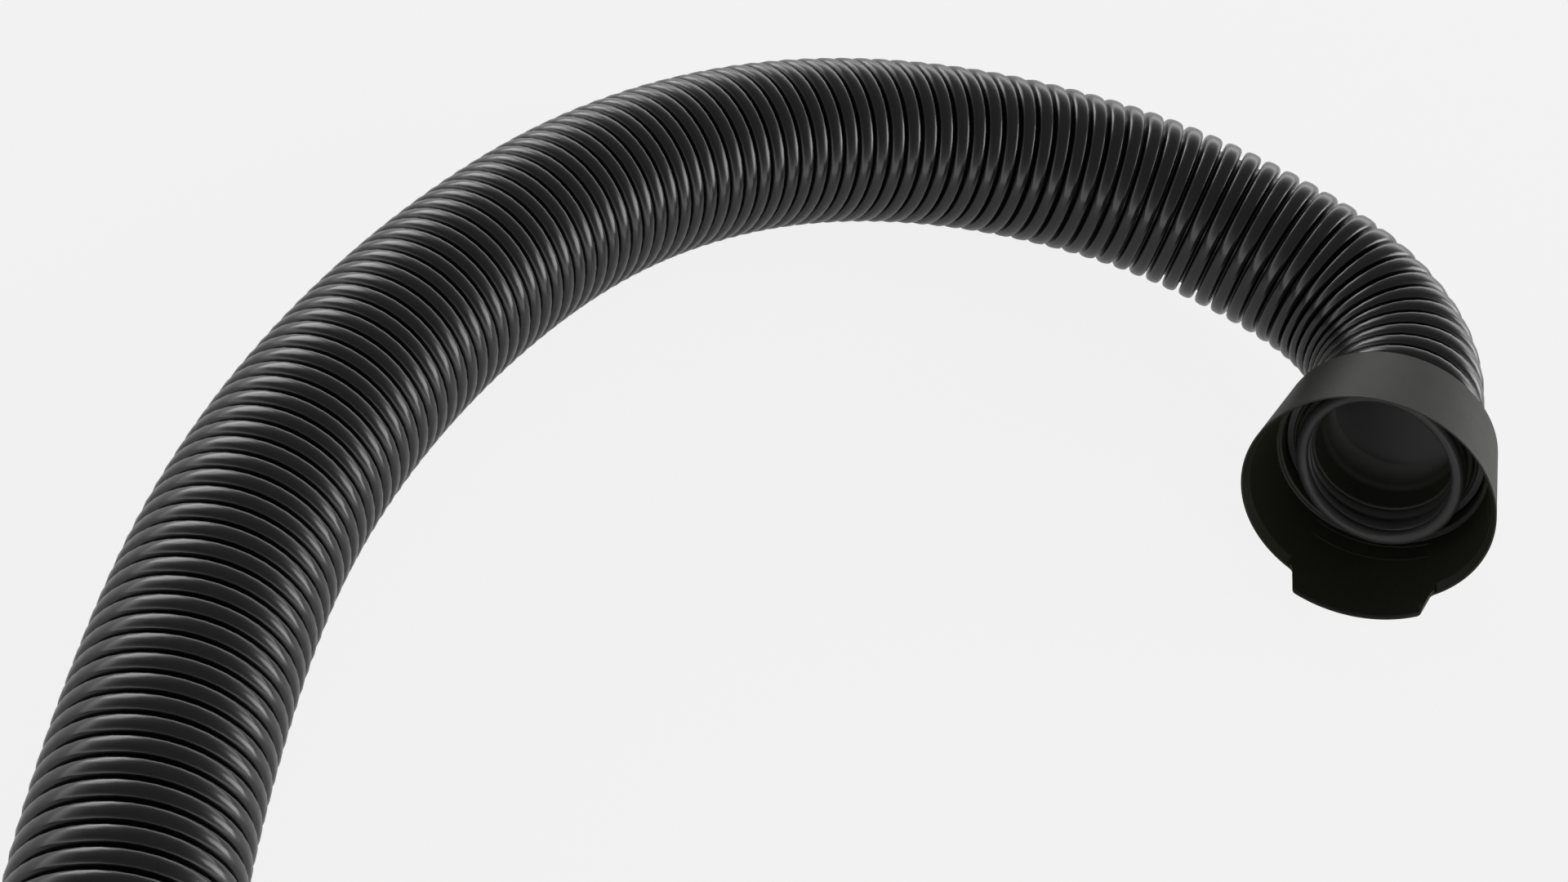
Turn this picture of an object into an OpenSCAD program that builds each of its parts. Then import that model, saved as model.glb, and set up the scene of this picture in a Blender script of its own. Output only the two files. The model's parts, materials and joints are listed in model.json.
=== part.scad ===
// Corrugated suction hose, one section, lying in the loop it takes on a floor.
// A wide bell cuff with a locking tongue swivels on one end, a plain push-in
// cuff swivels on the other. Millimetres, +Z up, z = 0 is the floor and the
// origin is under the middle of the whole part.

/* [Hose] */
// Diameter of the airway in the hose
hose_bore = 38; // [37:0.5:39]
// Wall of the hose in its valleys
hose_wall = 1; // [0.8:0.1:1.4]
// How far a rib crest stands over the valley beside it
rib_height = 3.5; // [2:0.25:4]
// Distance from one rib crest to the next where the hose lies free
rib_pitch = 5.2; // [5.2:0.1:8]
// How much longer that is where the hose is drawn out, before the bell
rib_stretch = 0.6; // [0:0.1:0.8]
// Length of the hose that is drawn out
stretch_length = 180; // [100:10:240]
// Length over which the ribs part towards it
stretch_run = 160; // [60:10:200]

/* [Bell cuff] */
// How much further out the bell stands at its mouth than at its back
bell_flare = 4.5; // [2:0.25:6]
// Length of the bell from its mouth to its back
bell_length = 29; // [27:0.5:31]
// Wall of the bell behind its mouth
bell_wall = 1.3; // [1.2:0.1:2]
// Width of the edge that is left at the mouth
rim_edge = 0.5; // [0.3:0.1:0.8]
// Length of the lead-in that thins the wall to that edge
rim_lead = 2.5; // [1:0.5:4]
// How far the locking tongue stands out past the mouth
tongue_length = 6.5; // [4:0.5:9]
// Arc that the tongue's tip takes up, in degrees
tongue_arc = 60; // [40:1:80]
// How much wider the tongue is at its foot than at its tip, on each side
tongue_lean = 1.2; // [0.5:0.1:3]
// How far the middle of the tongue is turned from straight down, in degrees
tongue_turn = 26; // [20:1:30]
// Depth of the latch pocket that is sunk in the tongue's inner face
pocket_depth = 0.6; // [0.3:0.1:0.8]
// Width of the ramp on the pocket's near side
pocket_ramp = 3; // [1:0.25:4]
// How far the shoulder ring stands in front of the web
shoulder_reach = 5.5; // [4.5:0.25:7]
// Width of the shoulder ring's face
shoulder_width = 1.8; // [1.4:0.1:2]
// Thickness of the web that carries the bell on its swivel
web_thickness = 3; // [2.5:0.25:3.5]

/* [Swivels] */
// Wall of the sleeve's neck around the nose's foot
neck_wall = 2; // [1.8:0.1:2.4]
// Height of the step from that neck up to the journal
neck_step = 1; // [0.8:0.1:1.4]
// How far a cuff reaches out from its journal, at the bell's back and the housing
cuff_reach = 4.5; // [4:0.25:6]
// Gap all round between a journal and the cuff that turns on it
swivel_gap = 0.08; // [0.04:0.01:0.1]
// Gap on each side of a cuff's web, so that it turns freely
side_gap = 0.4; // [0.3:0.05:0.5]
// Thickness of a retaining ring
ring_thickness = 1; // [0.8:0.1:1.2]
// Gap between a retaining ring's outside and the cuff around it
ring_gap = 0.4; // [0.3:0.05:0.6]
// Opening between the two ends of a retaining ring, in degrees
ring_opening = 36; // [20:2:60]
// Thickness of the flange behind a cuff
flange_thickness = 2.6; // [1.8:0.1:3]
// How far a flange stands out past its journal
flange_reach = 2; // [1.5:0.25:2.5]
// Width of a swivel seal
seal_width = 1.6; // [1.2:0.1:1.8]
// Depth of the groove that a swivel seal sits in
seal_depth = 1.3; // [1:0.1:1.6]

/* [Inlet] */
// How far the middle of the soft nose's front rib stands in front of the web
nose_reach = 10; // [9:0.5:11]
// Thickness of the front rib, which is also the width of the lip
lip_width = 3.5; // [3:0.1:3.8]
// Thickness of the second rib, behind it
rib_width = 2.8; // [2.2:0.1:3]
// Wall of the nose between its ribs
nose_wall = 1; // [0.8:0.1:1.2]
// How far the soft nose leans to the side, in degrees
lean_side = 9; // [0:0.5:9.5]
// How far it leans up, in degrees
lean_up = 4; // [0:0.5:5]
// Diameter of the socket that takes the next hose or tool
socket_d = 38.1; // [38.1:0.05:38.4]
// Depth of that socket
socket_depth = 7.5; // [6:0.5:8]
// How much smaller the nose's foot is than the nose, all round
foot_step = 1; // [0.8:0.1:1.2]
// Depth of the seat for that foot in the sleeve
foot_depth = 1.2; // [0.8:0.1:1.4]

/* [Push-in cuff] */
// Outer diameter of the spigot that pushes into a socket
spigot_d = 38; // [37.7:0.05:38]
// Length of the spigot
spigot_length = 36; // [28:1:40]
// Wall of the spigot
spigot_wall = 2.2; // [1.8:0.1:2.6]
// Length of the housing
housing_length = 15; // [14:0.5:18]
// Length of the cone between the spigot and the housing
cone_length = 8; // [6:0.5:12]
// Wall of the housing
housing_wall = 2; // [1.6:0.1:2.2]

/* [Barbs] */
// Length of a sleeve's tail inside the hose
barb_length = 10; // [8:1:14]
// Wall of a sleeve's tail
barb_wall = 1.1; // [0.9:0.1:1.6]
// Number of rings round a sleeve's tail
barb_rings = 3; // [2:1:4]

/* [Hidden] */

black_plastic = [0.035, 0.035, 0.038];
cuff_plastic = [0.16, 0.16, 0.15];
sleeve_plastic = [0.24, 0.24, 0.25];
rubber_black = [0.05, 0.05, 0.05];
spring_steel = [0.55, 0.55, 0.57];

// Route of the hose's middle line: control points of a smooth cubic spline,
// from the push-in cuff to the bell cuff. Its first and last stretches are straight.
route = [
    [-200, -278, 30], [-170, -278, 30], [-140, -278, 30], [-110, -278, 30], [-78, -273, 28],
    [-40, -253, 25.5], [-9, -220, 23.5], [10, -177, 23.5], [13, -131, 23.5], [-6, -90, 23.5],
    [-21, -47, 23.5], [-33, -4, 23.5], [-38, 41, 23.5], [-37, 86, 23.5], [-31, 131, 23.5],
    [-19, 174, 23.5], [3, 215, 23.5], [30, 245, 23.5], [58, 266, 23.5], [85, 278, 25],
    [109, 284, 27], [132, 285, 29], [152, 283, 31], [169, 279, 32.5], [181, 272, 33.5],
    [192, 261, 34.5], [198, 244, 35.5], [198, 228, 35.5], [198, 212, 35.5]];
steps = 10;          // points worked out on each span of the route
sides = 8;           // sides of a rib's ring, one of them flat on the floor
ribs_per_bore_ring = 2;

// Where the hose meets its two sleeves
bell_face = route[len(route) - 2];
tail_face = route[1];
bell_way = unit(route[len(route) - 1] - bell_face);
tail_way = unit(route[2] - tail_face);

hose_bore_r = hose_bore / 2;
valley_r = hose_bore_r + hose_wall;
crest_r = valley_r + rib_height;
nose_r = crest_r;
foot_r = nose_r - foot_step;
neck_r = foot_r + neck_wall;
journal_r = neck_r + neck_step;
bearing_r = journal_r + swivel_gap;
flange_r = journal_r + flange_reach;
cuff_r = journal_r + cuff_reach;
bell_r = cuff_r + bell_flare;
bell_slope = bell_flare / bell_length;
barb_r = hose_bore_r - 0.05;
airway_r = barb_r - barb_wall;
lip_r = lip_width / 2;
rib_r = rib_width / 2;
skirt_r = nose_r - lip_width / 2 - nose_wall / 2;
socket_r = socket_d / 2;
ring_seat = 0.6;     // how deep a retaining ring sits in its groove
ring_play = 0.1;     // side play of a ring or a seal in its groove
seat_gap = 0.05;     // gap round what is seated in one body
seal_clear = 0.1;    // gap that a swivel seal keeps from the cuff that turns on it
land = 0.7;          // width of a journal's land beside a groove
chamfer = 0.4;       // broken edge of a cuff's bearing
soft = 0.3;          // broken edge of a journal and a seal
past = 1;            // how far a cutting shape runs past what it cuts
draft = 0.02;        // how much the bell's inner wall thickens per millimetre of depth

// Depths along the bell cuff's axis, from its mouth plane towards the hose
web_front = bell_length - web_thickness;
shoulder_depth = web_front - shoulder_reach;
nose_depth = web_front - nose_reach;
ring_front = web_front - side_gap - ring_thickness;
journal_front = ring_front - ring_play - land;
flange_front = bell_length + side_gap;
sleeve_back = flange_front + flange_thickness;
lean = [-lean_up, lean_side, 0];
sleeve_front = nose_depth + nose_r * sin(norm(lean)) + 1.6;
socket_front = sleeve_front + foot_depth;
socket_end = socket_front + socket_depth;
gap_r = bell_inner(shoulder_depth) - shoulder_width;
ring_r = gap_r - ring_gap;

// Depths along the push-in cuff's axis, from its mouth plane towards the hose
housing_back = spigot_length + cone_length + housing_length;
tail_web_front = housing_back - web_thickness;
tail_ring_front = tail_web_front - side_gap - ring_thickness;
tail_journal_front = tail_ring_front - ring_play - land;
tail_flange_front = housing_back + side_gap;
tail_sleeve_back = tail_flange_front + flange_thickness;
spigot_r = spigot_d / 2;
spigot_bore_r = spigot_r - spigot_wall;
cavity_front = spigot_length + cone_length;

$fn = 96;

function unit(v) = v / norm(v);
function bell_outer(z) = bell_r - bell_slope * z;
function bell_inner(z) = bell_outer(z) - bell_wall - draft * (z + tongue_length);
function arc(c, r, from, to, n = 5) =
    [for (i = [0:n]) let (a = from + (to - from) * i / n) [c[0] + r * cos(a), c[1] + r * sin(a)]];

// ---- the hose's middle line

function spline(a, b, c, d, t) =
    (pow(1 - t, 3) * a + (3 * pow(t, 3) - 6 * t * t + 4) * b
     + (-3 * pow(t, 3) + 3 * t * t + 3 * t + 1) * c + pow(t, 3) * d) / 6;
line = [for (i = [0:len(route) - 4], k = [0:steps - 1])
            spline(route[i], route[i + 1], route[i + 2], route[i + 3], k / steps),
        bell_face];
gaps = [for (i = [1:len(line) - 1]) norm(line[i] - line[i - 1])];
walked = [for (i = 0, s = 0; i < len(line); s = s + (i < len(gaps) ? gaps[i] : 0), i = i + 1) s];
hose_length = walked[len(walked) - 1];
line_x = [for (i = [0:len(line) - 1]) [walked[i], line[i][0]]];
line_y = [for (i = [0:len(line) - 1]) [walked[i], line[i][1]]];
line_z = [for (i = [0:len(line) - 1]) [walked[i], line[i][2]]];
function at(s) = [lookup(s, line_x), lookup(s, line_y), lookup(s, line_z)];
function heading(s) =
    s < 3 ? tail_way : s > hose_length - 3 ? bell_way : unit(at(s + 2.5) - at(s - 2.5));

// Places of the valleys along the hose, set so that the last is at its end
function pitch_at(s) = rib_pitch + rib_stretch
    * min(1, max(0, (s - hose_length + stretch_length + stretch_run) / stretch_run));
drawn = [for (s = 0; s <= hose_length; s = s + pitch_at(s)) s];
rib_count = len(drawn) - 1;
valleys = hose_length / drawn[rib_count] * drawn;

// A ring of points round the line at s, square to it. The flats, not the
// corners, are r from the line, so that the lowest flat lies on the floor.
function ring_at(s, r) =
    let (t = heading(s), across = unit(cross(t, [0, 0, 1])), rise = cross(across, t),
         corner = r / cos(180 / sides))
    [for (j = [0:sides - 1]) let (a = 360 * (j + 0.5) / sides)
        at(s) + corner * (sin(a) * across - cos(a) * rise)];

module hose_tube() {
    outer = [for (i = [0:rib_count]) each concat(
                ring_at(valleys[i], valley_r),
                i < rib_count ? ring_at((valleys[i] + valleys[i + 1]) / 2, crest_r) : [])];
    bore_rings = ceil(rib_count / ribs_per_bore_ring);
    inner = [for (i = [0:bore_rings]) each
                ring_at(valleys[min(i * ribs_per_bore_ring, rib_count)], hose_bore_r)];
    base = len(outer);
    last_out = 2 * rib_count * sides;
    last_in = base + bore_rings * sides;
    function next(j) = (j + 1) % sides;
    outer_faces = [for (i = [0:2 * rib_count - 1], j = [0:sides - 1])
        let (a = i * sides + j, b = i * sides + next(j), c = a + sides, d = b + sides)
        each [[a, b, c], [b, d, c]]];
    inner_faces = [for (i = [0:bore_rings - 1], j = [0:sides - 1])
        let (a = base + i * sides + j, b = base + i * sides + next(j), c = a + sides, d = b + sides)
        each [[a, c, b], [b, c, d]]];
    end_faces = [for (j = [0:sides - 1]) each [
        [j, base + j, next(j)], [next(j), base + j, base + next(j)],
        [last_out + j, last_out + next(j), last_in + j],
        [last_out + next(j), last_in + next(j), last_in + j]]];
    color(black_plastic)
        polyhedron(concat(outer, inner), concat(outer_faces, inner_faces, end_faces));
}

// ---- the two ends' places: each is drawn with its mouth at z = 0, the hose
// towards +z and the floor towards +y

module at_bell() {
    translate([bell_face[0], bell_face[1] - sleeve_back, bell_face[2]])
        rotate([-90, 0, 0]) children();
}

module at_tail() {
    translate([tail_face[0] - tail_sleeve_back, tail_face[1], tail_face[2]])
        rotate([0, 90, 0]) rotate([0, 0, -90]) children();
}

// ---- bell cuff

// A wedge of space round the axis, between two turns from the floor side
module wedge(from, to, low, high, reach) {
    fan = [for (i = [0:4]) let (a = from + (to - from) * i / 4) [reach * sin(a), reach * cos(a)]];
    translate([0, 0, low]) linear_extrude(high - low) polygon(concat([[0, 0]], fan));
}

module bell_shell() {
    edge = 1.2;
    inner_edge = 0.8;
    root = 0.9;
    crown = 0.6;
    tip = -tongue_length;
    rotate_extrude() polygon(concat(
        [[bell_inner(tip + rim_lead), tip + rim_lead], [bell_outer(tip) - rim_edge, tip],
         [bell_outer(tip), tip]],
        arc([bell_outer(bell_length) - edge, bell_length - edge], edge, 0, 90),
        [[bearing_r + chamfer, bell_length], [bearing_r, bell_length - chamfer],
         [bearing_r, web_front + chamfer], [bearing_r + chamfer, web_front]],
        arc([gap_r - inner_edge, web_front - inner_edge], inner_edge, 90, 0),
        arc([gap_r + root, shoulder_depth + root], root, 180, 270),
        arc([bell_inner(shoulder_depth) - crown, shoulder_depth - crown], crown, 90, 0)));
}

// The mouth is cut back and thinned everywhere but at the tongue, whose sides lean in
module mouth_cut() {
    round = 1;
    tip = bell_outer(-tongue_length) * sin(tongue_arc / 2);
    foot = tip + tongue_lean;
    low = -tongue_length;
    difference() {
        rotate_extrude() polygon([
            [0, low - past], [bell_outer(low) + past, low - past], [bell_outer(low) + past, 0],
            [bell_r - rim_edge, 0], [bell_inner(rim_lead), rim_lead], [0, rim_lead]]);
        rotate([90, 0, 180 - tongue_turn])
            linear_extrude(bell_outer(low) + 2 * past) polygon(concat(
                [[-foot - round, rim_lead + past], [-foot - round, 0]],
                arc([-foot - round, -round], round, 90, 0, 4),
                arc([-tip + round, low + round], round, 180, 270, 4),
                arc([tip - round, low + round], round, 270, 360, 4),
                arc([foot + round, -round], round, 180, 90, 4),
                [[foot + round, 0], [foot + round, rim_lead + past]]));
    }
}

// Two steps that are sunk in the inner face behind the tongue. Each is drawn as
// its outline at the tongue's tip, with a ramp on one side, and narrows with the bell.
module latch_pocket() {
    low = -tongue_length - past;
    from = tongue_turn - tongue_arc / 2;
    to = tongue_turn + tongue_arc / 2;
    steps = [[shoulder_depth - 6, pocket_depth], [shoulder_depth - 1.5, pocket_depth / 2]];
    for (step = steps) {
        r = bell_inner(low);
        ramp = pocket_ramp / r * 180 / PI;
        translate([0, 0, low])
            linear_extrude(step[0] - low, scale = bell_inner(step[0]) / r)
                polygon(concat(
                    [for (i = [0:12]) let (a = from + (to - from) * i / 12)
                        (r + step[1]) * [sin(a), cos(a)]],
                    [(r - past) * [sin(to), cos(to)], (r - past) * [sin(from - ramp), cos(from - ramp)],
                     r * [sin(from - ramp), cos(from - ramp)]]));
    }
}

module bell_cuff() {
    color(cuff_plastic) at_bell()
        difference() {
            bell_shell();
            mouth_cut();
            latch_pocket();
        }
}

// ---- sleeves, one at each end of the hose

// Outline of a journal with its ring groove, seal groove and flange, front to back
function journal(front, ring, web, flange, back) = [
    [journal_r - soft, front], [journal_r, front + soft],
    [journal_r, ring - ring_play], [journal_r - ring_seat, ring - ring_play],
    [journal_r - ring_seat, ring + ring_thickness + ring_play],
    [journal_r, ring + ring_thickness + ring_play],
    [journal_r, web + land], [journal_r - seal_depth, web + land],
    [journal_r - seal_depth, web + land + seal_width + ring_play],
    [journal_r, web + land + seal_width + ring_play],
    [journal_r, flange], [flange_r - chamfer, flange], [flange_r, flange + chamfer],
    [flange_r, back - chamfer], [flange_r - chamfer, back]];

// Outline of the tail that the hose is pushed over, with its saw-tooth rings
function barb(back) = concat(
    [[barb_r - 0.5, back]],
    [for (i = [0:barb_rings - 1]) let (z = back + barb_length * i / barb_rings) each
        [[barb_r, z + 0.6], [barb_r - 0.45, z + barb_length / barb_rings]]],
    [[airway_r, back + barb_length]]);

module end_sleeve() {
    edge = 0.8;
    color(sleeve_plastic) at_bell()
        rotate_extrude() polygon(concat(
            [[foot_r, socket_front], [foot_r, sleeve_front + soft], [foot_r + soft, sleeve_front]],
            arc([neck_r - edge, sleeve_front + edge], edge, 270, 360),
            [[neck_r, journal_front]],
            journal(journal_front, ring_front, web_front, flange_front, sleeve_back),
            barb(sleeve_back),
            [[airway_r, sleeve_back], [socket_r, socket_end]],
            arc([socket_r + edge, socket_front + edge], edge, 180, 270)));
}

module tail_sleeve() {
    collar_r = neck_r - neck_wall;
    front = tail_journal_front - 1.2;
    color(sleeve_plastic) at_tail()
        rotate_extrude() polygon(concat(
            [[airway_r, front + chamfer], [airway_r + chamfer, front],
             [collar_r - chamfer, front], [collar_r, front + chamfer],
             [collar_r, tail_journal_front]],
            journal(tail_journal_front, tail_ring_front, tail_web_front, tail_flange_front,
                    tail_sleeve_back),
            barb(tail_sleeve_back)));
}

// ---- rings and seals

// A round rib of the soft nose, leaning by a share of the whole lean
module nose_rib(depth, r, share) {
    translate([0, 0, depth]) rotate(share * lean)
        rotate_extrude() translate([nose_r - r, 0]) circle(r, $fn = 20);
}

// The tube between the ribs, leaning with the front one
module nose_skirt() {
    translate([0, 0, nose_depth]) rotate(lean)
        rotate_extrude() translate([skirt_r - nose_wall / 2, 0])
            square([nose_wall, sleeve_front - nose_depth + 1]);
}

// The foot that is bonded in the sleeve, with a round step inside
module nose_foot() {
    step_r = 1.4;
    inside = socket_r + 0.7;
    middle = sleeve_front - step_r - 1;
    rotate_extrude() polygon(concat(
        [[foot_r - seat_gap, socket_front - seat_gap], [foot_r - seat_gap, middle - step_r],
         [inside + step_r, middle - step_r]],
        arc([inside + step_r, middle], step_r, 270, 90, 6),
        [[inside + step_r, sleeve_front], [inside + 0.5, sleeve_front + 0.6],
         [inside + 0.5, socket_front - seat_gap]]));
}

module mouth_seal() {
    color(rubber_black) at_bell()
        intersection() {
            union() {
                nose_rib(nose_depth, lip_r, 1);
                nose_rib((nose_depth + sleeve_front) / 2 + 0.6, rib_r, 0.5);
                nose_skirt();
                nose_foot();
            }
            union() {
                cylinder(r = journal_r, h = sleeve_front - seat_gap);
                cylinder(r = foot_r - seat_gap, h = socket_front - seat_gap);
            }
        }
}

module snap_ring(front) {
    turn = 180;
    difference() {
        translate([0, 0, front])
            rotate_extrude() polygon([
                [journal_r - ring_seat + seat_gap, 0], [ring_r, 0],
                [ring_r, ring_thickness], [journal_r - ring_seat + seat_gap, ring_thickness]]);
        wedge(turn - ring_opening / 2, turn + ring_opening / 2,
              front - past, front + ring_thickness + past, 2 * ring_r);
    }
}

module seal_ring(web) {
    r = bearing_r - seal_clear;
    z0 = web + land + ring_play / 2;
    rotate_extrude() polygon([
        [journal_r - seal_depth + seat_gap, z0], [r - soft, z0], [r, z0 + soft],
        [r, z0 + seal_width - soft], [r - soft, z0 + seal_width],
        [journal_r - seal_depth + seat_gap, z0 + seal_width]]);
}

module retaining_ring() { color(spring_steel) at_bell() snap_ring(ring_front); }
module swivel_seal() { color(rubber_black) at_bell() seal_ring(web_front); }
module tail_retaining_ring() { color(spring_steel) at_tail() snap_ring(tail_ring_front); }
module tail_swivel_seal() { color(rubber_black) at_tail() seal_ring(tail_web_front); }

// ---- push-in cuff

module tail_cuff() {
    edge = 1.5;
    color(cuff_plastic) at_tail()
        rotate_extrude() polygon(concat(
            [[spigot_bore_r, 1], [spigot_bore_r + 0.8, 0], [spigot_r - 1, 0], [spigot_r, 2.5],
             [spigot_r, spigot_length], [cuff_r - 1, cavity_front - 0.6], [cuff_r, cavity_front + 0.8]],
            arc([cuff_r - edge, housing_back - edge], edge, 0, 90),
            [[bearing_r + chamfer, housing_back], [bearing_r, housing_back - chamfer],
             [bearing_r, tail_web_front + chamfer], [bearing_r + chamfer, tail_web_front],
             [cuff_r - housing_wall, tail_web_front],
             [cuff_r - housing_wall, cavity_front + 1.6], [spigot_bore_r + 1.5, spigot_length + 1.6],
             [spigot_bore_r, spigot_length - 1]]));
}

hose_tube();
bell_cuff();
end_sleeve();
mouth_seal();
retaining_ring();
swivel_seal();
tail_cuff();
tail_sleeve();
tail_retaining_ring();
tail_swivel_seal();
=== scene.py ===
"""A corrugated suction hose lying in a loop, its bell cuff towards the viewer. Metres, +Z up."""

import json
import math

import bmesh
import bpy
from mathutils import Matrix, Vector


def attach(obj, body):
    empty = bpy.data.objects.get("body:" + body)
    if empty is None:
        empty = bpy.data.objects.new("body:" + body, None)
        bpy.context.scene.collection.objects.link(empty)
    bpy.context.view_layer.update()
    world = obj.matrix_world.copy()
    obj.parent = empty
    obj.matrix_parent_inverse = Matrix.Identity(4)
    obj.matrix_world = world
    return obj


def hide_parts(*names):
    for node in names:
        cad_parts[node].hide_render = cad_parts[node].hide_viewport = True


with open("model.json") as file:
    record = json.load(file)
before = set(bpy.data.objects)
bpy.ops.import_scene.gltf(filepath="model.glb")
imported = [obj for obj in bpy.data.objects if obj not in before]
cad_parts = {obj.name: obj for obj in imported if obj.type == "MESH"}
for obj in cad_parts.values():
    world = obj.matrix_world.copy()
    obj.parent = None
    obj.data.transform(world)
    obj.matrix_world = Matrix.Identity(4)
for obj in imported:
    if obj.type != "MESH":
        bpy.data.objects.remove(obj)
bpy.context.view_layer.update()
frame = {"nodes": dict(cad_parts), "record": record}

MM = 0.001

# ---------------------------------------------------------------- camera

CAMERA_PLACE = Vector((88.71, -366.62, 476.08)) * MM
CAMERA_RIGHT = Vector((0.864933, 0.373747, 0.334969))
CAMERA_UP = Vector((-0.499447, 0.575223, 0.64782))
LENS = 60.0
SENSOR = 36.0


def make_camera():
    """The camera looks down at the loop from in front, rolled to the left."""
    data = bpy.data.cameras.new("camera")
    data.lens = LENS
    data.sensor_width = SENSOR
    data.clip_start = 0.01
    data.clip_end = 20
    camera = bpy.data.objects.new("camera", data)
    bpy.context.scene.collection.objects.link(camera)
    right = CAMERA_RIGHT.normalized()
    back = right.cross(CAMERA_UP).normalized()
    up = back.cross(right)
    turn = Matrix((right, up, back)).transposed().to_4x4()
    camera.matrix_world = Matrix.Translation(CAMERA_PLACE) @ turn
    bpy.context.scene.camera = camera


make_camera()

# ---------------------------------------------------------------- hose route

# Control points of the hose's middle line in millimetres, from the push-in cuff
# to the bell. The first and the last span run straight into the sleeves.
ROUTE_MM = [
    (-200, -278, 30), (-170, -278, 30), (-140, -278, 30), (-110, -278, 30), (-78, -273, 28),
    (-40, -253, 25.5), (-9, -220, 23.5), (10, -177, 23.5), (13, -131, 23.5), (-6, -90, 23.5),
    (-21, -47, 23.5), (-33, -4, 23.5), (-38, 41, 23.5), (-37, 86, 23.5), (-31, 131, 23.5),
    (-19, 174, 23.5), (3, 215, 23.5), (30, 245, 23.5), (58, 266, 23.5), (85, 278, 25),
    (109, 284, 27), (132, 285, 29), (152, 283, 31), (169, 279, 32.5), (181, 272, 33.5),
    (192, 261, 34.5), (198, 244, 35.5), (198, 228, 35.5), (198, 212, 35.5),
]
STEPS_PER_SPAN = 10
RIB_PITCH = 5.2 * MM
RIB_STRETCH = 0.6 * MM
STRETCH_LENGTH = 180 * MM
STRETCH_RUN = 160 * MM
CREST_RADIUS = 23.5 * MM
VALLEY_RADIUS = 20.0 * MM
BORE_RADIUS = 19.0 * MM
HOSE_SIDES = 40


def spline_point(a, b, c, d, t):
    """A point on a uniform cubic spline between its four nearest control points."""
    return (
        a * (1 - t) ** 3
        + b * (3 * t**3 - 6 * t**2 + 4)
        + c * (-3 * t**3 + 3 * t**2 + 3 * t + 1)
        + d * t**3
    ) / 6


class Route:
    """A smooth line that can be asked for its place and its square section at any length."""

    def __init__(self, controls):
        self.points = [
            spline_point(a, b, c, d, k / STEPS_PER_SPAN)
            for a, b, c, d in zip(controls, controls[1:], controls[2:], controls[3:])
            for k in range(STEPS_PER_SPAN)
        ]
        self.points.append(controls[-2].copy())
        self.walked = [0.0]
        for before, after in zip(self.points, self.points[1:]):
            self.walked.append(self.walked[-1] + (after - before).length)
        self.length = self.walked[-1]

    def place(self, s):
        low = max(i for i, w in enumerate(self.walked[:-1]) if w <= max(s, 0.0))
        part = (s - self.walked[low]) / (self.walked[low + 1] - self.walked[low])
        return self.points[low].lerp(self.points[low + 1], part)

    def section(self, s):
        """The matrix that lays a ring square to the line at length s."""
        reach = 2.5 * MM
        if s < reach:
            ahead = self.points[1] - self.points[0]
        elif s > self.length - reach:
            ahead = self.points[-1] - self.points[-2]
        else:
            ahead = self.place(s + reach) - self.place(s - reach)
        ahead.normalize()
        across = ahead.cross(Vector((0, 0, 1))).normalized()
        rise = across.cross(ahead)
        turn = Matrix((across, rise, ahead)).transposed().to_4x4()
        return Matrix.Translation(self.place(s)) @ turn


def valley_places(length):
    """Places of the valleys along the hose. The ribs part a little towards the bell,
    where the hose is drawn out."""
    places = [0.0]
    while places[-1] <= length:
        into = (places[-1] - length + STRETCH_LENGTH + STRETCH_RUN) / STRETCH_RUN
        places.append(places[-1] + RIB_PITCH + RIB_STRETCH * min(1.0, max(0.0, into)))
    places.pop()
    return [place * length / places[-1] for place in places]


def rib_outline():
    """One rib from valley to valley, as (share of its pitch, radius): a tight round
    valley, steep sides, round shoulders and a barely crowned crest."""
    shoulder_round = 1.4 * MM
    crest_half = 0.78 * MM
    crown = 0.08 * MM
    valley_round = 0.4 * MM
    rising = []
    for degrees in (270, 325):
        a = math.radians(degrees)
        along = -RIB_PITCH / 2 + valley_round * math.cos(a)
        rising.append((along, VALLEY_RADIUS + valley_round * (1 + math.sin(a))))
    for degrees in (170, 143, 116, 90):
        a = math.radians(degrees)
        along = shoulder_round * math.cos(a) - crest_half
        rising.append((along, CREST_RADIUS - crown - shoulder_round * (1 - math.sin(a))))
    falling = [(-along, radius) for along, radius in reversed(rising)]
    outline = [*rising, (0.0, CREST_RADIUS), *falling]
    return [(0.5 + along / RIB_PITCH, radius) for along, radius in outline]


def hose_outline(length):
    """The straight hose's whole section: out over the ribs and back along the bore."""
    places = valley_places(length)
    outline = [(0.0, VALLEY_RADIUS)]
    for start, end in zip(places, places[1:]):
        outline += [(start + share * (end - start), radius) for share, radius in rib_outline()[1:]]
    outline += [(place, BORE_RADIUS) for place in reversed(places)]
    return outline


def new_piece(name, bm, material, crease=180):
    """Turns a bmesh into a finished piece with its place in its mesh. Edges that turn
    by more than the crease, in degrees, look sharp."""
    mesh = bpy.data.meshes.new(name)
    bm.to_mesh(mesh)
    bm.free()
    mesh.shade_smooth()
    mesh.set_sharp_from_angle(angle=math.radians(crease))
    mesh.materials.append(material)
    piece = bpy.data.objects.new(name, mesh)
    bpy.context.scene.collection.objects.link(piece)
    return piece


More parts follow.
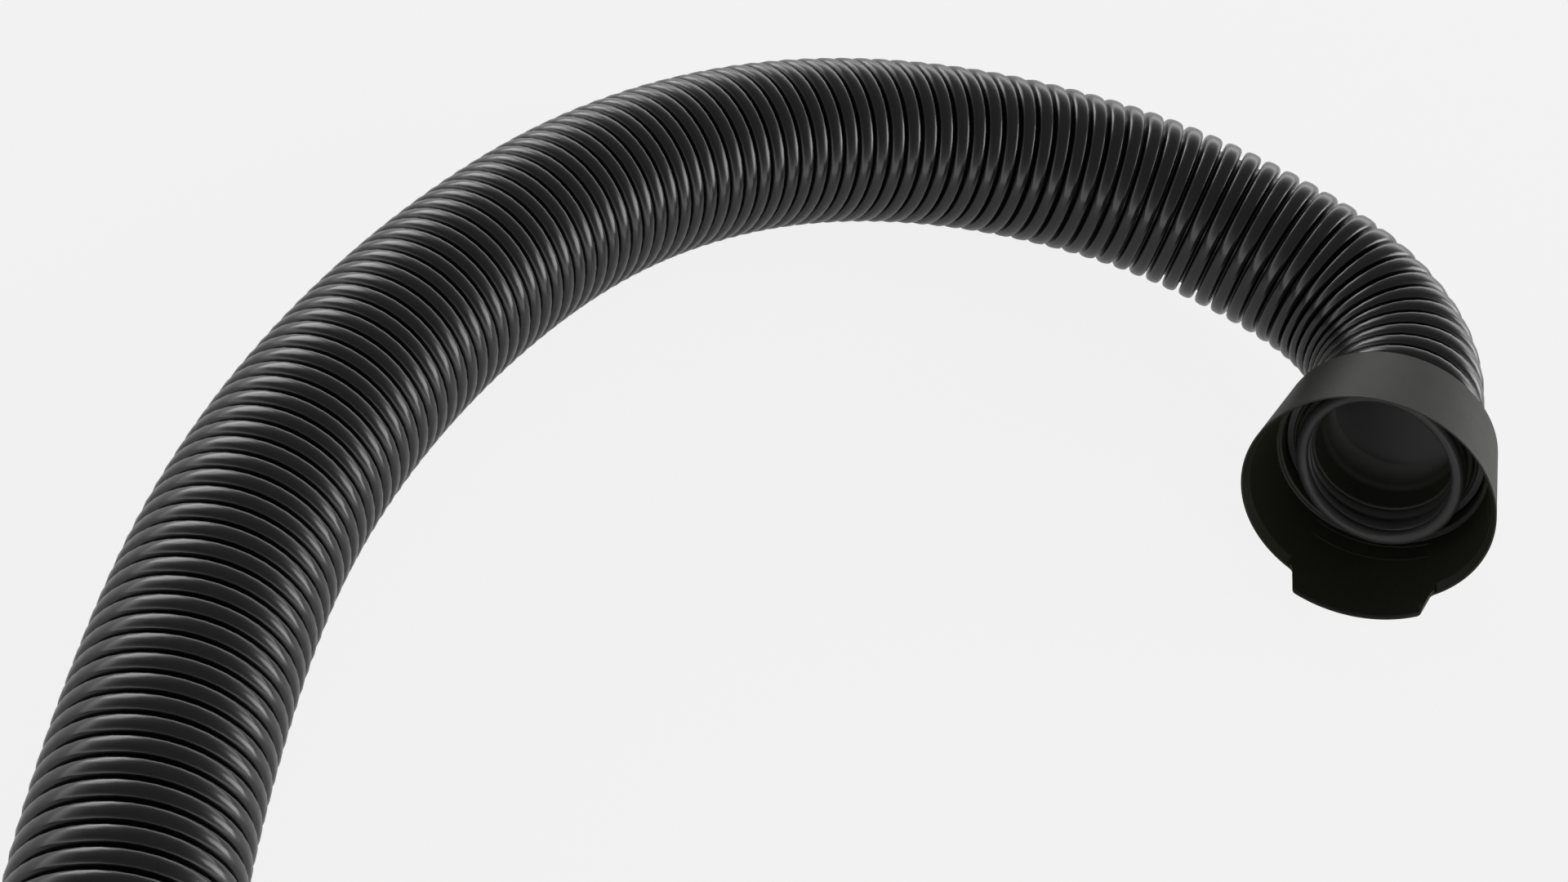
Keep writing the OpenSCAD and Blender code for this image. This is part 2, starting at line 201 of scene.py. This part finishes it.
def make_hose(route, material):
    """The ribbed tube, spun straight and then laid along its route."""
    bm = bmesh.new()
    rub = bm.verts.layers.float.new("crest")
    verts = [bm.verts.new((radius, 0, s)) for s, radius in hose_outline(route.length)]
    edges = [bm.edges.new(pair) for pair in zip(verts, verts[1:] + verts[:1])]
    bmesh.ops.spin(
        bm, geom=verts + edges, cent=(0, 0, 0), axis=(0, 0, 1), angle=2 * math.pi,
        steps=HOSE_SIDES, use_merge=True, use_duplicate=False,
    )
    sections = {}
    for vert in bm.verts:
        x, y, s = vert.co
        vert[rub] = (math.hypot(x, y) - VALLEY_RADIUS) / (CREST_RADIUS - VALLEY_RADIUS)
        key = round(s, 7)
        if key not in sections:
            sections[key] = route.section(s)
        vert.co = sections[key] @ Vector((x, y, 0))
    bmesh.ops.recalc_face_normals(bm, faces=bm.faces)
    return new_piece("ribbed_hose", bm, material)


# ---------------------------------------------------------------- inlet

INLET_CENTRE = Vector((198, 196, 35.5)) * MM
SPIN_STEPS = 96
NOSE_LEAN = (-0.155, 0.067)
NOSE_LEANS_TO = 17.5
SLEEVE_FRONT = 21.62
SOCKET_FRONT = 22.82
SOCKET_RADIUS = 19.05
AIRWAY_RADIUS = 17.85
FOOT_RADIUS = 22.45
SLEEVE_END = 42.0


def rounded(centre, radius, start, end, steps):
    """Points of an arc as (depth, radius), in degrees from straight outwards."""
    depth, away = centre
    turns = (math.radians(start + (end - start) * k / steps) for k in range(steps + 1))
    return [(depth + radius * math.sin(a), away + radius * math.cos(a)) for a in turns]


def spun_at_inlet(outline):
    """A closed outline of (depth, radius) in millimetres, spun round the inlet's axis."""
    bm = bmesh.new()
    verts = [bm.verts.new((away * MM, depth * MM, 0)) for depth, away in outline]
    edges = [bm.edges.new(pair) for pair in zip(verts, verts[1:] + verts[:1])]
    bmesh.ops.spin(
        bm, geom=verts + edges, cent=(0, 0, 0), axis=(0, 1, 0), angle=2 * math.pi,
        steps=SPIN_STEPS, use_merge=True, use_duplicate=False,
    )
    bmesh.ops.translate(bm, verts=bm.verts, vec=INLET_CENTRE)
    bmesh.ops.recalc_face_normals(bm, faces=bm.faces)
    return bm


def make_nose(material):
    """The soft nose: a round lip, a rib behind it and two round steps inside. It leans
    at the lip and stands straight in the sleeve."""
    bm = spun_at_inlet([
        *rounded((16.0, 21.75), 1.75, 130, 405, 22),
        *rounded((19.3, 22.1), 1.4, -65, 60, 7),
        (21.2, 21.9), (SLEEVE_FRONT - 0.1, FOOT_RADIUS), (SOCKET_FRONT - 0.05, FOOT_RADIUS),
        (SOCKET_FRONT - 0.05, 20.0), (23.4, SOCKET_RADIUS + 0.1),
        *rounded((21.85, 21.0), 1.55, 130, 235, 9), (20.1, 20.6),
        *rounded((18.7, 21.15), 1.5, 130, 235, 9),
    ])
    for vert in bm.verts:
        away = vert.co - INLET_CENTRE
        depth = away.y / MM
        share = (SLEEVE_FRONT - depth) / (SLEEVE_FRONT - NOSE_LEANS_TO)
        lean = min(1.0, max(0.0, share))
        vert.co.y += lean * (NOSE_LEAN[0] * away.x + NOSE_LEAN[1] * away.z)
    return new_piece("soft_nose", bm, material)


def make_sleeve(material):
    """The sleeve in the hose's end: a socket that narrows to the airway, a
    journal with two grooves, a flange and a barbed tail."""
    barbs = [
        point for start in (32.0, 35.33, 38.67)
        for point in ((start + 0.6, 18.95), (start + 3.33, 18.5))
    ]
    return new_piece("inlet_sleeve", spun_at_inlet([
        (SOCKET_FRONT, 22.5), (SLEEVE_FRONT + 0.3, 22.5), (SLEEVE_FRONT, 22.8),
        *rounded((SLEEVE_FRONT + 0.8, 23.7), 0.8, -90, 0, 5),
        (23.8, 24.5), (23.8, 25.2), (24.1, 25.5), (24.5, 25.5), (24.5, 24.9), (25.7, 24.9),
        (25.7, 25.5), (26.7, 25.5), (26.7, 24.2), (28.4, 24.2), (28.4, 25.5), (29.4, 25.5),
        (29.4, 27.1), (29.8, 27.5), (31.6, 27.5), (32.0, 27.1), (32.0, 18.45),
        *barbs, (SLEEVE_END, AIRWAY_RADIUS), (33.0, AIRWAY_RADIUS), (32.2, 17.97),
        (31.6, 18.35), (31.0, 18.82), (30.32, SOCKET_RADIUS),
        *rounded((SOCKET_FRONT + 0.8, SOCKET_RADIUS + 0.8), 0.8, 180, 270, 5),
    ]), material, crease=35)


# ---------------------------------------------------------------- finishes


class Value:
    """A shader socket that can be used in sums."""

    def __init__(self, finish, socket):
        self.finish, self.socket = finish, socket

    def math(self, operation, *others):
        return self.finish.node("ShaderNodeMath", {"operation": operation}, *[self, *others])

    def __add__(self, other):
        return self.math("ADD", other)

    def __sub__(self, other):
        return self.math("SUBTRACT", other)

    def __rsub__(self, other):
        return self.finish.node("ShaderNodeMath", {"operation": "SUBTRACT"}, other, self)

    def __mul__(self, other):
        return self.math("MULTIPLY", other)

    __radd__ = __add__
    __rmul__ = __mul__


class Finish:
    """A material, or the world's light, made from expressions on its sockets."""

    def __init__(self, owner, end="ShaderNodeOutputMaterial"):
        owner.use_nodes = True
        self.owner, self.tree, self.end = owner, owner.node_tree, end
        self.tree.nodes.clear()

    def node(self, kind, settings, *values, out=0, **named):
        made = self.tree.nodes.new(kind)
        for key, setting in settings.items():
            if key == "stops":
                self.set_stops(made.color_ramp, setting)
            else:
                setattr(made, key, setting)
        for key, value in [*enumerate(values), *named.items()]:
            socket = made.inputs[key if isinstance(key, int) else key.replace("_", " ")]
            if isinstance(value, Value):
                self.tree.links.new(value.socket, socket)
            else:
                socket.default_value = value
        return Value(self, made.outputs[out])

    @staticmethod
    def set_stops(ramp, stops):
        while len(ramp.elements) < len(stops):
            ramp.elements.new(0.5)
        for element, (place, colour) in zip(ramp.elements, stops):
            element.position = place
            element.color = colour

    def places(self):
        """Places on the piece, in metres."""
        return self.node("ShaderNodeTexCoord", {}, out=3)

    def noise(self, where, scale, detail=2.0, roughness=0.5):
        return self.node(
            "ShaderNodeTexNoise", {}, Vector=where, Scale=scale, Detail=detail, Roughness=roughness
        )

    def shade(self, factor, dark, light):
        return self.node(
            "ShaderNodeMix", {"data_type": "RGBA"}, out=2, Factor=factor, A=dark, B=light
        )

    def finish(self, shader):
        end = self.tree.nodes.new(self.end)
        self.tree.links.new(shader.socket, end.inputs["Surface"])
        return self.owner


def grey(value):
    return (value, value, value, 1.0)


def olive(value):
    return (value, value, value * 0.7, 1.0)


# Painted light in the airway and the hose bore: a pale grey that stands for the light reaching the
# deep wall through the mouth. Below it are the depths, in metres along y, over which the sleeve's
# wall turns pale.
BORE_PAINTED_LIGHT = grey(0.4)
PAINTED_LIGHT_FROM = 0.2255
PAINTED_LIGHT_TO = 0.244


def hose_finish():
    """Glossy near-black blown plastic, a little duller on the crests, where it rubs,
    and pale grey in the bore as painted light for the light that reaches the deep bore wall."""
    f = Finish(bpy.data.materials.new("hose_plastic"))
    where = f.places()
    cloud = f.noise(where, 35.0, 3.0)
    smear = f.noise(where, 160.0, 4.0, 0.6)
    grain = f.noise(where, 2600.0, 2.0)
    crest = f.node("ShaderNodeAttribute", {"attribute_name": "crest"}, out=2)
    bore = crest.math("LESS_THAN", -0.1)
    skin = f.shade(cloud, grey(0.005), grey(0.008))
    # Painted light: the bore gets a pale grey that stands for light on the deep wall, not a colour
    # of the plastic.
    colour = f.shade(bore, skin, BORE_PAINTED_LIGHT)
    gloss = 0.26 + smear * 0.10 + crest * 0.03 + bore * 0.4
    bump = f.node("ShaderNodeBump", {}, Strength=0.08, Distance=0.0002, Height=grain)
    return f.finish(f.node(
        "ShaderNodeBsdfPrincipled", {}, Base_Color=colour, Roughness=gloss, Normal=bump,
        Coat_Weight=1.0, Coat_Roughness=0.15,
    ))


def moulded_finish(name, dark, light, dull, grain_depth, painted_light=None):
    """Satin moulded plastic with a fine grain and faint clouding. Painted light, if given,
    lightens the airway deeper in, towards the hose, where light through the mouth falls on the wall."""
    f = Finish(bpy.data.materials.new(name))
    where = f.places()
    cloud = f.noise(where, 60.0, 3.0)
    smear = f.noise(where, 220.0, 4.0, 0.6)
    grain = f.noise(where, 3200.0, 2.0)
    colour = f.shade(cloud, dark, light)
    if painted_light:
        # Painted light: the airway wall turns pale with depth, as if lit through the mouth.
        depth = f.node("ShaderNodeSeparateXYZ", {}, where, out=1)
        lit_share = f.node(
            "ShaderNodeMapRange", {"interpolation_type": "SMOOTHSTEP"}, Value=depth,
            From_Min=PAINTED_LIGHT_FROM, From_Max=PAINTED_LIGHT_TO,
        )
        colour = f.shade(lit_share, colour, painted_light)
    bump = f.node("ShaderNodeBump", {}, Strength=grain_depth, Distance=0.0002, Height=grain)
    return f.finish(f.node(
        "ShaderNodeBsdfPrincipled", {}, Base_Color=colour, Roughness=dull - 0.05 + smear * 0.1,
        Normal=bump,
    ))


def steel_finish():
    """Blackened spring steel with fine turning lines."""
    f = Finish(bpy.data.materials.new("ring_steel"))
    lines = f.noise(f.places(), 900.0, 2.0)
    return f.finish(f.node(
        "ShaderNodeBsdfPrincipled", {}, Base_Color=f.shade(lines, grey(0.09), grey(0.14)),
        Roughness=0.35 + lines * 0.15, Metallic=1.0,
    ))


HOSE_PLASTIC = hose_finish()
CUFF_PLASTIC = moulded_finish("cuff_plastic", olive(0.024), olive(0.03), 0.42, 0.12)
# The sleeve's airway gets painted light deeper in, towards the hose.
SLEEVE_PLASTIC = moulded_finish("sleeve_plastic", olive(0.028), olive(0.035), 0.5, 0.08, BORE_PAINTED_LIGHT)
SEAL_RUBBER = moulded_finish("seal_rubber", grey(0.05), grey(0.062), 0.36, 0.1)
RING_STEEL = steel_finish()

FINISH_OF_SLOT = {
    "cuff_plastic": CUFF_PLASTIC,
    "sleeve_plastic": SLEEVE_PLASTIC,
    "seal_rubber": SEAL_RUBBER,
    "ring_steel": RING_STEEL,
    "hose_plastic": HOSE_PLASTIC,
}


def dress_nodes():
    """Gives every CAD node the finish of its slot."""
    slots = {part["node"]: part["material_slot"] for part in frame["record"]["subparts"]}
    for name, node in frame["nodes"].items():
        node.data.materials.clear()
        node.data.materials.append(FINISH_OF_SLOT[slots[name]])


dress_nodes()

# ---------------------------------------------------------------- pieces

route = Route([Vector(p) * MM for p in ROUTE_MM])
hose = make_hose(route, HOSE_PLASTIC)
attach(hose, "hose")
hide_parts("hose_tube")
nose = make_nose(SEAL_RUBBER)
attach(nose, "hose")
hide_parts("mouth_seal")
sleeve = make_sleeve(SLEEVE_PLASTIC)
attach(sleeve, "hose")
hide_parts("end_sleeve")

# ---------------------------------------------------------------- stage and light


def make_floor():
    """A plain pale floor. It shows its own even colour and keeps a soft shadow."""
    bm = bmesh.new()
    bmesh.ops.create_grid(bm, x_segments=1, y_segments=1, size=20.0)
    f = Finish(bpy.data.materials.new("pale_floor"))
    pale = f.node("ShaderNodeBsdfDiffuse", {}, Color=grey(0.9))
    even = f.node("ShaderNodeEmission", {}, Color=grey(1.0), Strength=1.0)
    camera, glossy, through = (f.node("ShaderNodeLightPath", {}, out=n) for n in (0, 3, 6))
    seen = (camera * 0.85).math("MAXIMUM", glossy * 0.25).math("MAXIMUM", through * 0.85)
    mixed = f.node("ShaderNodeMixShader", {}, seen, pale, even)
    new_piece("floor", bm, f.finish(mixed))


def make_world():
    """A room that is pale all round at the height of the floor and dim overhead."""
    f = Finish(bpy.data.worlds.new("studio"), "ShaderNodeOutputWorld")
    height = f.node(
        "ShaderNodeVectorMath", {"operation": "DOT_PRODUCT"},
        f.node("ShaderNodeTexCoord", {}), (0.0, 0.0, 1.0), out=1,
    )
    stops = [(0.0, grey(1.25)), (0.16, grey(1.2)), (0.34, grey(0.32)), (0.6, grey(0.14))]
    room = f.node("ShaderNodeValToRGB", {"stops": stops}, height)
    bpy.context.scene.world = f.finish(f.node("ShaderNodeBackground", {}, room))


def soft_lamp(name, place, aim, size, power):
    """A square lamp turned to its aim."""
    data = bpy.data.lights.new(name, "AREA")
    data.shape = "SQUARE"
    data.size = size
    data.energy = power
    lamp = bpy.data.objects.new(name, data)
    bpy.context.scene.collection.objects.link(lamp)
    way = Vector(aim) - Vector(place)
    lamp.matrix_world = Matrix.Translation(place) @ way.to_track_quat("-Z", "Y").to_matrix().to_4x4()


make_floor()
make_world()
soft_lamp("left_lamp", (-2.1, 1.6, 0.75), (0.0, 0.1, 0.03), 1.35, 10.0)
soft_lamp("right_lamp", (2.3, 1.6, 0.75), (0.0, 0.1, 0.03), 1.35, 13.0)
bpy.context.scene.view_settings.view_transform = "Standard"
